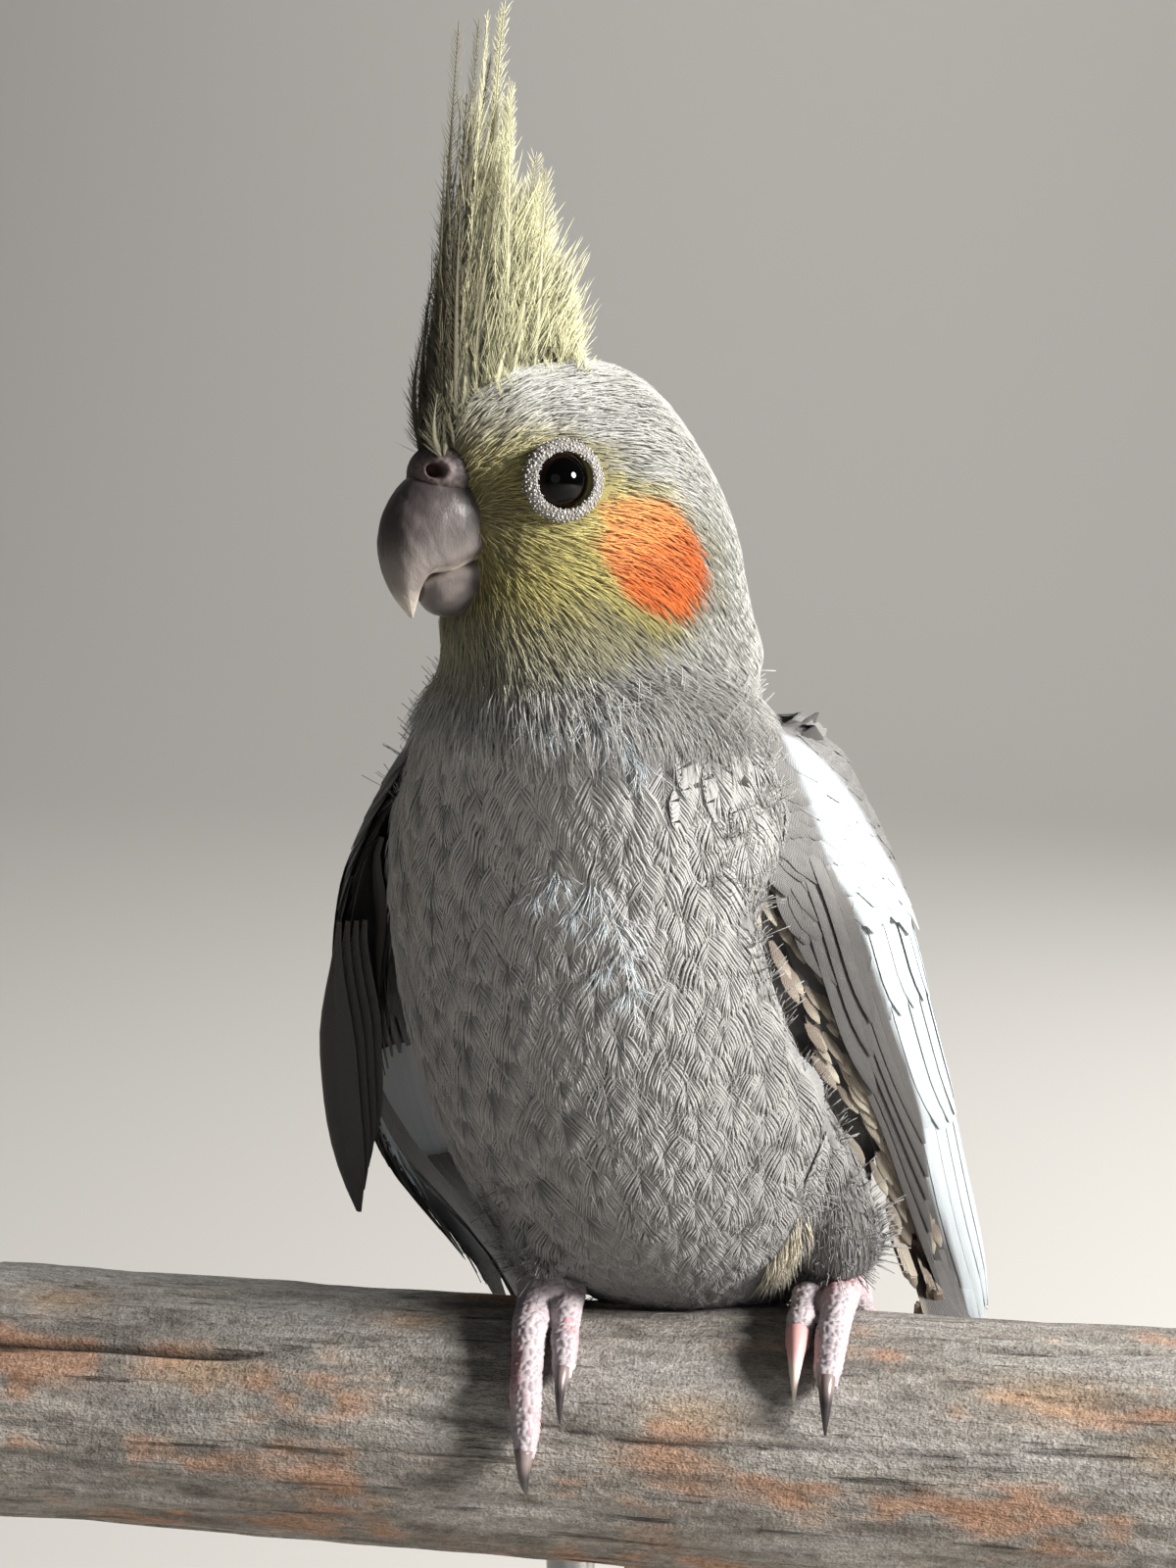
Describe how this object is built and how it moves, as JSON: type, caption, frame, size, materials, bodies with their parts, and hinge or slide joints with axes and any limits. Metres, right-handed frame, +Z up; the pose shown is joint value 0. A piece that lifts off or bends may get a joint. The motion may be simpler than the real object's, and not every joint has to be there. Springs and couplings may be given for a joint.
{
  "type": "cockatiel on a perch",
  "caption": "Life-size still model of a grey cockatiel with a raised crest, gripping a short cut log held on a flat display base.",
  "frame": {"origin": "middle of the underside of the display base", "axes": "+Z up, +X to the bird's left along the log, -Y the way that the bird's breast faces"},
  "size_m": [0.176, 0.1505, 0.3209],
  "materials": {
    "plumage_grey": "soft matt feathers, mid grey with a brown cast",
    "plumage_face": "fine hair-like face feathers, washed yellow with an orange cheek patch",
    "plumage_crest": "loose crest feathers, olive grey in front and pale yellow behind",
    "plumage_wing": "smooth flight feathers, dark grey with a white panel",
    "plumage_tail": "long smooth tail feathers, grey above and barred with pale yellow below",
    "bill": "layered horn, purple grey with a pale worn edge and tip",
    "cere": "soft wrinkled skin, pinkish grey",
    "eye": "wet gloss, very dark brown",
    "foot_skin": "small raised scales, greyish pink with whitish edges",
    "claw": "smooth horn, dark grey",
    "perch_wood": "weathered bare log, silver grey with orange brown patches and a long crack",
    "stand_base": "pale painted board, satin",
    "stand_rod": "brushed steel rod"
  },
  "bodies": {
    "root": {"perch": "perch_wood", "head": "plumage_face", "crest": "plumage_crest", "neck": "plumage_grey", "torso": "plumage_grey", "tail": "plumage_tail", "bill_upper": "bill", "bill_lower": "bill", "cere": "cere", "eye_left": "eye", "eye_right": "eye", "foot_right": "foot_skin", "leg_right": "plumage_grey", "toe_right_inner_front": "foot_skin", "claw_right_inner_front": "claw", "toe_right_outer_front": "foot_skin", "claw_right_outer_front": "claw", "toe_right_inner_back": "foot_skin", "claw_right_inner_back": "claw", "toe_right_outer_back": "foot_skin", "claw_right_outer_back": "claw", "foot_left": "foot_skin", "leg_left": "plumage_grey", "toe_left_inner_front": "foot_skin", "claw_left_inner_front": "claw", "toe_left_outer_front": "foot_skin", "claw_left_outer_front": "claw", "toe_left_inner_back": "foot_skin", "claw_left_inner_back": "claw", "toe_left_outer_back": "foot_skin", "claw_left_outer_back": "claw", "wing_left": "plumage_wing", "wing_right": "plumage_wing", "stand_base": "stand_base", "stand_rod_right": "stand_rod", "stand_rod_left": "stand_rod"}
  },
  "joints": []
}
